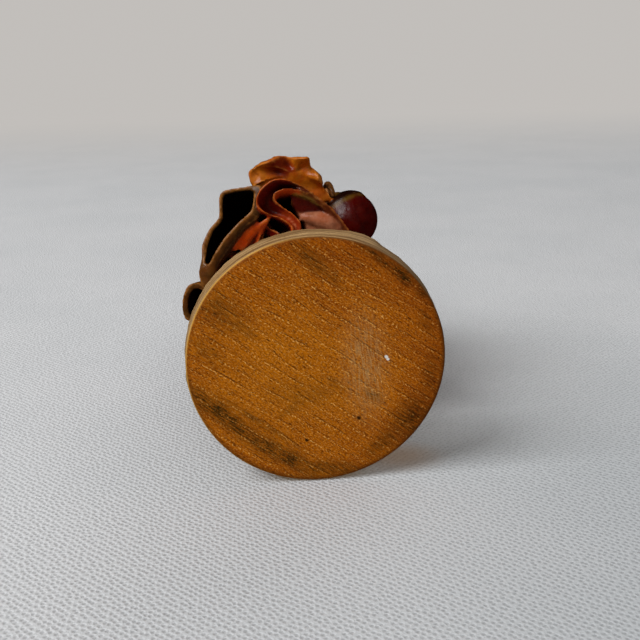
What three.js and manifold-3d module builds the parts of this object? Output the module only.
// A small carved wooden girl in wind-blown clothes, standing on a turned round base.
// Millimetres, +Z up, origin at the centre of the base's underside. She faces -Y, so +X is her left.
import * as THREE from 'three';
import { mergeVertices } from 'three/addons/utils/BufferGeometryUtils.js';
import Module from 'manifold-3d';

const wasm = await Module();
wasm.setup();

// Driving dimensions: the base
const baseRadius = 25;
const baseTopRadius = 25.6;
const baseHeight = 5.5;
const baseChamfer = 0.7;
const baseSides = 48;
const glueLine = 0.1;

// Driving dimensions: the heights of the figure above the table
const soleZ = baseHeight + glueLine;
const hemZ = 30;
const petticoatZ = 37;
const hollowTopZ = 52;
const waistZ = 68;
const shoulderZ = 88;
const headZ = 105;
const crownZ = 116.5;

// Driving dimensions: girths
const waistHalfWidth = 9.5;
const waistHalfDepth = 7.5;
const headHalfWidth = 7.3;
const headHalfDepth = 8.2;
const headHalfHeight = 9.6;
const clothWall = 1.4;

const RED = 0x9c3a20;
const BASE_WOOD = 0xb5762e;

const turn = Math.PI * 2;
const radians = (degrees) => (degrees * Math.PI) / 180;
const mix = (a, b, t) => a + (b - a) * t;

// A plan point from a bearing in degrees, 0 to her front and 90 to her left, and a distance from the axis.
function bearing(degrees, distance) {
  return new THREE.Vector2(Math.sin(radians(degrees)) * distance, -Math.cos(radians(degrees)) * distance);
}

function solidFrom(geometry) {
  geometry.deleteAttribute('normal');
  geometry.deleteAttribute('uv');
  const merged = mergeVertices(geometry, 1e-4);
  const solid = new wasm.Manifold(new wasm.Mesh({
    numProp: 3,
    vertProperties: new Float32Array(merged.attributes.position.array),
    triVerts: new Uint32Array(merged.index.array),
  }));
  return solid;
}

function geometryFrom(solid) {
  const mesh = solid.getMesh();
  const geometry = new THREE.BufferGeometry();
  geometry.setAttribute('position', new THREE.BufferAttribute(new Float32Array(mesh.vertProperties), 3));
  geometry.setIndex(new THREE.BufferAttribute(new Uint32Array(mesh.triVerts), 1));
  geometry.computeVertexNormals();
  return geometry;
}

// A closed skin through a stack of rings, lowest ring first. Every ring runs the same way round with the
// same number of points, and the two end rings are closed flat.
function loft(rings) {
  const count = rings[0].length;
  const plan = rings[0].map((p) => new THREE.Vector2(p.x, p.y));
  const clockwise = THREE.ShapeUtils.area(plan) < 0;
  const stack = clockwise ? rings.map((ring) => [...ring].reverse()) : rings;
  const positions = stack.flat().flatMap((p) => [p.x, p.y, p.z]);
  const index = [];
  for (let row = 0; row + 1 < stack.length; row += 1) {
    for (let i = 0; i < count; i += 1) {
      const a = row * count + i;
      const b = row * count + ((i + 1) % count);
      index.push(a, b, b + count, a, b + count, a + count);
    }
  }
  const last = (stack.length - 1) * count;
  for (const [a, b, c] of THREE.ShapeUtils.triangulateShape(stack[0].map(flat), [])) index.push(a, c, b);
  for (const [a, b, c] of THREE.ShapeUtils.triangulateShape(stack.at(-1).map(flat), [])) {
    index.push(last + a, last + b, last + c);
  }
  const geometry = new THREE.BufferGeometry();
  geometry.setAttribute('position', new THREE.BufferAttribute(new Float32Array(positions), 3));
  geometry.setIndex(index);
  return solidFrom(geometry);
}

function flat(point) {
  return new THREE.Vector2(point.x, point.y);
}

// Points spread evenly along a closed smooth curve through the plan points given.
function closedCurve(points, count, tension = 0.5) {
  const path = new THREE.CatmullRomCurve3(
    points.map((p) => new THREE.Vector3(p.x, p.y, p.z ?? 0)), true, 'catmullrom', tension);
  return Array.from({ length: count }, (_, i) => path.getPoint(i / count));
}

// A ball's skin pressed into shape: place(angle, rise, girth) gives the point at an angle round, a rise from
// -1 to 1 and the ball's girth there.
function pressed(columns, rows, place) {
  const geometry = new THREE.SphereGeometry(1, columns, rows);
  const { position, uv } = geometry.attributes;
  for (let i = 0; i < position.count; i += 1) {
    const angle = uv.getX(i) * turn;
    const rise = -Math.cos(uv.getY(i) * Math.PI);
    const girth = Math.sqrt(Math.max(0, 1 - rise * rise));
    const p = place(angle, rise, girth);
    position.setXYZ(i, p.x, p.y, p.z);
  }
  return solidFrom(geometry);
}

function egg(centre, half, columns = 12, rows = 8) {
  return pressed(columns, rows, (angle, rise, girth) => new THREE.Vector3(
    centre[0] + half[0] * girth * Math.cos(angle),
    centre[1] + half[1] * girth * Math.sin(angle),
    centre[2] + half[2] * rise));
}

// A round limb through the stations given, each [x, y, z, radius], with round ends.
function limb(stations, columns = 8, rows = 8) {
  const path = new THREE.CatmullRomCurve3(stations.map(([x, y, z]) => new THREE.Vector3(x, y, z)));
  const girths = new THREE.CatmullRomCurve3(stations.map((s) => new THREE.Vector3(s[3], 0, 0)));
  return pressed(columns, rows, (angle, rise) => {
    const t = (rise + 1) / 2;
    const round = (Math.abs(rise) > 0.999) ? 0 : Math.pow(1 - Math.pow(Math.abs(rise), 6), 0.5);
    const radius = girths.getPoint(t).x * round;
    const ahead = path.getTangent(t);
    const side = new THREE.Vector3(0.35, -1, 0.2).cross(ahead).normalize();
    const over = ahead.clone().cross(side);
    return path.getPoint(t)
      .addScaledVector(side, -Math.cos(angle) * radius)
      .addScaledVector(over, Math.sin(angle) * -radius);
  });
}

function join(solids) {
  return solids.reduce((whole, solid) => whole.add(solid));
}

// The base: a turned disc with a worn arris below, a little wider at its top.
function roundBase() {
  const profile = [
    [0, 0], [baseRadius - baseChamfer, 0], [baseRadius, baseChamfer],
    [mix(baseRadius, baseTopRadius, 0.8), baseHeight - baseChamfer],
    [baseTopRadius - baseChamfer, baseHeight], [0, baseHeight],
  ].map(([r, z]) => new THREE.Vector2(r, z));
  const geometry = new THREE.LatheGeometry(profile, baseSides);
  geometry.rotateX(Math.PI / 2);
  return solidFrom(geometry);
}

// The dress: a bell from the waist to a hem that runs in flutes, with one deep fold in front that turns back
// on itself towards her right.
const dressColumns = 80;
const dressRows = 5;
const dressFlare = 1.25;
const flutes = { count: 7, depth: 1.8 };

// How far the hem reaches at a bearing: widest at her left, close in under the coat.
const hemReach = [
  [30, 21.2], [48, 21.4], [66, 23.6], [90, 24.4], [125, 22.4],
  [170, 19.5], [230, 18.2], [290, 18.6], [306, 19.4],
];

// The front fold's rim, as [bearing, distance]: from the pleats at her right, out round the fold and back.
const foldOutside = [
  [-16, 20.6], [-12, 19.2], [-8, 19.3], [-5.5, 21], [-11.5, 23], [-18.3, 25], [-20, 27.4],
  [-16.5, 29.8], [-10, 31], [-4, 30.3], [2, 28.4], [10, 26], [18, 24],
];
const foldInside = [
  [-16, 17], [-10, 16], [-2, 17.5], [0.5, 20.6], [-4, 23], [-9.6, 25.4], [-11.4, 26.8],
  [-9.5, 28], [-3.4, 28], [3.5, 26.8], [10, 24.6], [18, 22.4],
];
const foldEnd = 30;
const foldStart = -54;

// Sharp pleats drawn up beside the fold, at her right.
const pleat = { first: -50, step: 4.2, count: 7, reach: 20.6, depth: 1.5, lift: 5 };

function dressHem(fold, wall) {
  const rest = [];
  const sweep = 360 + foldStart - foldEnd;
  const steps = 25;
  for (let i = 0; i <= steps; i += 1) {
    const at = foldEnd + (sweep * i) / steps;
    const wave = 0.5 - 0.5 * Math.cos((i / steps) * flutes.count * turn);
    rest.push(bearing(at, reachAt(at) - wall - flutes.depth * wave));
  }
  const pleats = Array.from({ length: pleat.count }, (_, i) => {
    const p = bearing(pleat.first + i * pleat.step, pleat.reach + 0.2 * i - wall - (i % 2) * pleat.depth);
    return new THREE.Vector3(p.x, p.y, pleat.lift);
  });
  const front = fold.map(([at, distance]) => bearing(at, distance));
  return closedCurve([...front, ...rest, ...pleats], dressColumns);
}

function reachAt(at) {
  const next = Math.max(1, hemReach.findIndex(([mark]) => mark >= at));
  const [low, near] = hemReach[next - 1];
  const [high, far] = hemReach[next];
  return mix(near, far, (at - low) / (high - low));
}

function waistRing(count, width, depth) {
  return Array.from({ length: count }, (_, i) => {
    const at = mix(foldStart, foldStart + 360, i / count);
    const p = bearing(at, 1);
    return new THREE.Vector3(p.x * width, p.y * depth - 0.5, waistZ);
  });
}

// The rings between a hem and the waist. The hem's folds die away upwards as the bell narrows.
function bell(hem, lowZ, highZ, flare, rows = dressRows) {
  const waist = waistRing(hem.length, waistHalfWidth, waistHalfDepth);
  return Array.from({ length: rows + 1 }, (_, row) => {
    const t = row / rows;
    const z = mix(lowZ, highZ, t);
    const spread = Math.pow((waistZ - z) / (waistZ - hemZ), flare);
    return hem.map((p, i) => new THREE.Vector3(
      mix(waist[i].x, p.x, spread), mix(waist[i].y, p.y, spread), z + (p.z ?? 0) * (1 - t)));
  });
}

function dress() {
  const outside = loft(bell(dressHem(foldOutside, 0), hemZ, waistZ, dressFlare));
  const inside = dressHem(foldInside, clothWall);
  const hollow = loft(bell(inside, hemZ - 3, hollowTopZ, dressFlare * 1.35, 3));
  return outside.subtract(hollow);
}

// The groove along the underside of the front fold, between its two rims.
function foldGroove() {
  const path = new THREE.CatmullRomCurve3([
    [-4, 19.8], [-2.5, 21.4], [-8, 23.8], [-14.2, 25.9], [-15.6, 27.4], [-12.5, 29], [-7, 29.4], [-3, 29],
  ].map(([at, distance]) => {
    const p = bearing(at, distance);
    return new THREE.Vector3(p.x, p.y, hemZ);
  }));
  const section = new THREE.Shape();
  section.absellipse(0, 0, 2.4, 0.85, 0, turn);
  const geometry = new THREE.ExtrudeGeometry(section, {
    steps: 22, bevelEnabled: false, extrudePath: path, curveSegments: 5,
  });
  return solidFrom(geometry);
}

// The petticoat closes the bell inside: smooth to her left, pleated to her right.
function petticoat() {
  const columns = 36;
  const pleats = 10;
  const hem = Array.from({ length: columns }, (_, i) => {
    const at = mix(foldStart, foldStart + 360, i / columns);
    const right = THREE.MathUtils.smoothstep(Math.cos(radians(at + 48)), 0.2, 0.9);
    const front = THREE.MathUtils.smoothstep(Math.cos(radians(at - 12)), 0.75, 1);
    const sharp = Math.abs(((at / 360) * pleats * 2 + 40) % 2 - 1);
    return bearing(at, 18.2 + 3 * front + right * (1.9 * sharp - 0.6) + 0.5 * Math.cos(radians(at) * 5));
  });
  const rings = bell(hem, petticoatZ, waistZ - 2, 1, 2);
  const under = hem.map((p) => new THREE.Vector3(p.x * 0.86, p.y * 0.86, petticoatZ - 1.2));
  return loft([under, ...rings]);
}

// The petticoat's front edge, rolled down to the hem inside the fold, at her left.
const petticoatRoll = [
  [-2.2, -24.4], [-1.6, -25.9], [0.6, -26.2], [2.8, -25.3], [4.4, -23.8], [6.2, -21.8], [8.4, -19.4],
  [9, -16], [4, -14], [-1, -15], [0.7, -19.5], [-0.7, -22.5],
];
const rollZ = 31.6;

function petticoatFold() {
  const edge = closedCurve(petticoatRoll.map(([x, y]) => new THREE.Vector2(x, y)), 24);
  const levels = [[rollZ, 0.8], [rollZ + 0.7, 1], [petticoatZ, 0.94], [petticoatZ + 5, 0.8]];
  const centre = { x: mean(edge, 'x'), y: mean(edge, 'y') };
  return loft(levels.map(([z, grow]) => edge.map((p) => new THREE.Vector3(
    centre.x + (p.x - centre.x) * grow, centre.y + (p.y - centre.y) * grow + (1 - grow) * 6, z))));
}

// A flute of the coat: a closed loop of cloth at its hem that narrows to the shoulder. Where a hollow loop is
// given, the flute is open below and hollow for most of its height.
const fluteRows = 4;
const fluteFlare = 1.15;

function coatFlute(loop, top, columns, hollowLoop) {
  const hem = closedCurve(loop, columns, 0.35);
  const first = Math.atan2(hem[0].y - mean(hem, 'y'), hem[0].x - mean(hem, 'x'));
  const way = THREE.ShapeUtils.area(hem.map(flat)) > 0 ? 1 : -1;
  const level = (foot, t, radius, i, lowZ, highZ) => {
    const z = mix(lowZ, highZ, t);
    const spread = Math.pow(Math.min(1, (top.z - z) / (top.z - foot.z)), fluteFlare);
    const angle = first + (way * turn * i) / columns;
    return new THREE.Vector3(
      mix(top.x + Math.cos(angle) * radius, foot.x, spread),
      mix(top.y + Math.sin(angle) * radius, foot.y, spread), z);
  };
  const stack = (feet, radius, sink, highZ) => Array.from({ length: fluteRows + 1 }, (_, row) => (
    feet.map((foot, i) => level(foot, row / fluteRows, radius, i, foot.z - sink, highZ))));
  const body = loft(stack(hem, top.radius, 0, top.z));
  if (!hollowLoop) return body;
  const hollowHem = closedCurve(hollowLoop, columns, 0.35);
  return body.subtract(loft(stack(hollowHem, top.radius - clothWall, 1, mix(hemZ, top.z, 0.6))));
}

function mean(points, axis) {
  return points.reduce((sum, p) => sum + p[axis], 0) / points.length;
}

// The coat's front flute, squared at its corner, blown out over her right foot.
const frontFluteLoop = [
  [-8.6, -28.4, 35], [-12.5, -28.2, 36], [-17, -27.4, 37], [-18.1, -25.8, 37], [-18.4, -21.6, 36],
  [-20.6, -19.2, 35], [-22.3, -16, 34], [-22.6, -12.8, 33], [-23.3, -10, 32], [-22.8, -7.4, 31.5],
  [-21.2, -7.2, 31], [-18.8, -12, 31], [-15.7, -16.4, 31], [-12.6, -20.1, 31], [-9.4, -22.7, 31],
];
const frontFluteHollow = [
  [-9.8, -27.1], [-12.8, -27], [-16.3, -26.2], [-17, -25.1], [-17.3, -21.1],
  [-19.4, -18.4], [-21, -15.8], [-21.5, -13.6], [-21.8, -12.7], [-21.2, -12.3],
  [-20.6, -12.9], [-19.6, -14.8], [-17.2, -18.2], [-13.9, -21.6], [-10.2, -24.2],
];

// A rounded flute of the coat that points away from the axis.
function fluteLoop(at, reach, width, depth, z) {
  const out = bearing(at, 1);
  const across = new THREE.Vector2(-out.y, out.x);
  return [[-1, 0.5], [-0.85, 0.12], [-0.3, 0], [0.35, 0.04], [0.9, 0.2], [1, 0.55], [0.45, 1], [-0.5, 1]]
    .map(([side, inwards]) => new THREE.Vector3(
      out.x * (reach - inwards * depth) + across.x * side * width * 0.5,
      out.y * (reach - inwards * depth) + across.y * side * width * 0.5, z));
}

function coat() {
  const top = { x: -6, y: 2, z: shoulderZ - 4, radius: 4.5 };
  const front = frontFluteLoop.map(([x, y, z]) => new THREE.Vector3(x, y, z));
  const frontHollow = frontFluteHollow.map(([x, y], i) => new THREE.Vector3(x, y, frontFluteLoop[i][2]));
  const around = [
    { at: -87, reach: 26.9, width: 9.5, depth: 7.5, z: 38, hollowed: true },
    { at: -115, reach: 27.2, width: 9.5, depth: 9, z: 35, hollowed: true },
    { at: -139, reach: 26.4, width: 11, depth: 9, z: 32 },
    { at: -165, reach: 25.4, width: 11, depth: 9, z: 30 },
    { at: 168, reach: 25.2, width: 11, depth: 9, z: 32 },
    { at: 142, reach: 24.6, width: 10.5, depth: 9, z: 35 },
  ];
  const folds = around.map(({ at, reach, width, depth, z, hollowed }) => {
    const crown = bearing(at, 4.6);
    const loop = fluteLoop(at, reach, width, depth, z);
    const hollow = hollowed ? fluteLoop(at, reach - clothWall, width - 2 * clothWall, depth, z) : null;
    return coatFlute(loop, { x: crown.x, y: crown.y + 2.5, z: shoulderZ - 3, radius: 2.6 }, 14, hollow);
  });
  const back = pressed(14, 6, (angle, rise, girth) => {
    const t = (rise + 1) / 2;
    const z = mix(hemZ + 8, shoulderZ + 4.5, t);
    const low = 1 - t;
    return new THREE.Vector3(
      -1.5 + Math.cos(angle) * Math.pow(girth, 0.4) * mix(10.4, 17, low),
      mix(3.2, 6.5, low) + Math.sin(angle) * Math.pow(girth, 0.4) * mix(6.4, 12, low), z);
  });
  return join([coatFlute(front, top, 32, frontHollow), ...folds, back]);
}

// The ochre apron, gathered up in both hands so that its end bunches out in front.
const apronEnd = [
  [-10.6, -25.5], [-11.2, -29.6], [-8.4, -31.4], [-5, -32.8], [-1.2, -32.5], [3, -32.4],
  [3.4, -30], [5.8, -28], [6.2, -25.4], [8.2, -22], [2.5, -19.5], [-6, -20.5],
];

function apron() {
  const columns = 28;
  const end = closedCurve(apronEnd.map(([x, y]) => new THREE.Vector3(x, y, 0)), columns, 0.2);
  const stations = [
    { z: 47, grow: 0.8, y: -1.2 }, { z: 48.4, grow: 1, y: 0 }, { z: 55, grow: 0.94, y: 1 },
    { z: 60, grow: 0.72, y: 4.5 }, { z: 64, grow: 0.66, y: 9.5 }, { z: 68, grow: 0.7, y: 16 },
  ];
  const centre = { x: mean(end, 'x'), y: mean(end, 'y') };
  return loft(stations.map(({ z, grow, y }, row) => end.map((p, i) => {
    const crease = 1 - 0.07 * Math.max(0, Math.sin(i * 1.9 + row * 1.3));
    return new THREE.Vector3(
      mix(0, centre.x, grow) + (p.x - centre.x) * grow * crease,
      centre.y + y + (p.y - centre.y) * grow * crease,
      z + (row < 2 ? 1.5 * Math.sin(i * 0.9) : 0));
  })));
}

// The round red bag hung from her left hand, with a dark flap over its front.
const bagAt = [12.8, -16.9, 49.5];
const bagRadius = 6.6;

function bag() {
  const [x, y, z] = bagAt;
  const body = pressed(14, 8, (angle, rise, girth) => new THREE.Vector3(
    x + Math.cos(angle) * girth * bagRadius * 0.97,
    y + Math.sin(angle) * girth * bagRadius,
    z + rise * bagRadius * (rise > 0 ? 1.25 : 0.95)));
  const flap = egg([x - 2.8, y - 3.4, z + 1.8], [4.6, 3.6, 5.2], 10, 7);
  const neck = limb([
    [x - 1.2, y, z + 6, 2.6], [x - 2.2, y - 1, z + 10, 1.8], [x - 3.4, y - 1.5, z + 14, 2.4],
  ]);
  return join([body, flap, neck]);
}

// Legs in stockings, with plain shoes that stand on the base.
const footApart = 5;
const shoeLength = 14.4;
const shoeWidth = 6;

function shoe(side) {
  const last = pressed(14, 10, (angle, rise, girth) => {
    const full = Math.pow(girth, 0.6);
    const height = (rise > 0 ? 3.4 : 2) * rise * (1 + 0.3 * Math.sin(angle) * girth);
    return new THREE.Vector3(
      side * (footApart + 0.2 - 0.7 * full * Math.sin(angle)) + (Math.cos(angle) * full * shoeWidth) / 2,
      -1.4 + (Math.sin(angle) * full * shoeLength) / 2,
      soleZ + 1.2 + height);
  });
  return last.trimByPlane([0, 0, 1], soleZ);
}

function legs() {
  return join([-1, 1].flatMap((side) => [shoe(side), limb([
    [side * footApart, 1.5, soleZ + 2, 2.6], [side * footApart, 1.8, 13, 2.7],
    [side * footApart, 1, 24, 4], [side * (footApart - 0.4), 0.5, 42, 4.6],
  ], 8, 7)]));
}

// Bodice, shoulders and neck.
function torso() {
  const bodice = pressed(14, 8, (angle, rise, girth) => {
    const t = (rise + 1) / 2;
    const chest = Math.exp(-Math.pow((t - 0.62) / 0.25, 2));
    const full = Math.pow(girth, 0.45);
    return new THREE.Vector3(
      Math.cos(angle) * full * mix(waistHalfWidth, 8.6, t) * (1 + 0.06 * chest),
      -0.4 + Math.sin(angle) * full * (mix(waistHalfDepth, 5.6, t) + chest),
      mix(waistZ - 5, shoulderZ + 5, t));
  });
  const neck = limb([[0, 0.5, shoulderZ, 4.4], [0, 0, shoulderZ + 7, 3.3], [0, -0.2, headZ - 5, 3.4]]);
  return join([bodice, neck]);
}

// Her arms, bent forward to hold the apron's end.
const rightSleeve = [[-9, 0.5, 86, 4], [-13, -1.5, 76, 4.4], [-13.5, -9, 67.5, 4], [-8, -19.5, 63, 3.2]];
const leftSleeve = [[9, 0.5, 86, 4], [13.6, -1, 76, 4.4], [14.6, -8.4, 68.4, 4.2], [10.4, -16.8, 64.2, 3.4]];
const rightHand = [-5.8, -21.8, 62];
const leftHand = [8.7, -19.6, 62.7];
const handHalf = [2.75, 2.7, 2.55];

function arms() {
  const sleeves = [rightSleeve, leftSleeve].map((stations) => limb(stations, 8, 7));
  const hands = [rightHand, leftHand].map((centre) => egg(centre, handHalf, 8, 6));
  return join([...sleeves, ...hands]);
}

// Head with a calm, plain face: brow, nose, lips and chin are pressed out of the egg.
function head() {
  return pressed(18, 13, (angle, rise, girth) => {
    const ahead = Math.max(0, -Math.sin(angle)) * THREE.MathUtils.smoothstep(girth, 0, 0.4);
    const across = Math.cos(angle) * girth;
    const bump = (width, at, height) => (
      Math.exp(-Math.pow(across / width, 2) - Math.pow((rise - at) / height, 2)));
    const fuller = rise < 0 ? Math.pow(Math.max(girth, 1e-6), -0.25) : 1;
    const jaw = (1 - 0.14 * THREE.MathUtils.smoothstep(-rise, 0.1, 1)) * fuller;
    const relief = ahead * (1.5 * bump(0.16, -0.2, 0.16) + 0.5 * bump(0.3, -0.52, 0.1)
      + 0.9 * bump(0.28, -0.82, 0.16) - 0.6 * bump(0.5, 0.06, 0.13) + 0.3 * bump(0.6, 0.24, 0.12));
    return new THREE.Vector3(
      Math.cos(angle) * girth * headHalfWidth * jaw,
      -1.2 + Math.sin(angle) * girth * headHalfDepth * jaw - relief,
      headZ + rise * headHalfHeight);
  });
}

// Hair combed back from a middle parting, with locks blown to her right.
function hair() {
  const cap = pressed(20, 9, (angle, rise, girth) => {
    const strand = 1 + 0.03 * Math.cos(angle * 13);
    return new THREE.Vector3(
      Math.cos(angle) * girth * (headHalfWidth + 1.5) * strand,
      1 + Math.sin(angle) * girth * (headHalfDepth + 0.6) * strand,
      crownZ - headHalfHeight - 0.4 + rise * (headHalfHeight + 0.4));
  });
  const faceWindow = egg([0, -9.5, headZ - 2.2], [6.2, 6.5, 9.6], 14, 9);
  const lockCount = 7;
  const locks = Array.from({ length: lockCount }, (_, i) => {
    const at = mix(-75, -255, i / (lockCount - 1));
    const root = bearing(at, 7);
    const drop = mix(9, 14, i / (lockCount - 1));
    return limb([
      [root.x, root.y + 0.5, headZ + 2, 3],
      [root.x * 1.15 - 0.8, root.y * 1.15 + 1, headZ - 5, 3.3],
      [root.x * 1.2 - 3, root.y * 1.1 + 1.4, headZ - drop, 2.5],
      [root.x - 6.4, root.y + 1, headZ - drop - 2.5, 1],
    ], 6, 5);
  });
  return join([cap.subtract(faceWindow), ...locks]);
}

// A folded collar round the neck.
function collar() {
  return pressed(20, 6, (angle, rise, girth) => new THREE.Vector3(
    Math.cos(angle) * Math.pow(girth, 0.3) * (7.8 - 3.2 * rise),
    0.4 + Math.sin(angle) * Math.pow(girth, 0.3) * (6 - 2.4 * rise),
    shoulderZ + 2.6 + rise * 3.4 * (1 - 0.15 * girth * Math.cos(angle * 4))));
}

function carvedGirl() {
  const skirt = dress().subtract(foldGroove());
  const whole = join([
    skirt, petticoat(), petticoatFold(), coat(), apron(), bag(),
    legs(), torso(), arms(), collar(), head(), hair(),
  ]);
  return whole.decompose().reduce((largest, shell) => (shell.volume() > largest.volume() ? shell : largest));
}

function piece(name, solid, colour, roughness) {
  const material = new THREE.MeshStandardMaterial({ color: colour, roughness, metalness: 0 });
  const mesh = new THREE.Mesh(geometryFrom(solid), material);
  mesh.name = name;
  return mesh;
}

const figurine = new THREE.Group();
figurine.add(piece('round_base', roundBase(), BASE_WOOD, 0.55));
figurine.add(piece('carved_girl', carvedGirl(), RED, 0.5));

export default figurine;
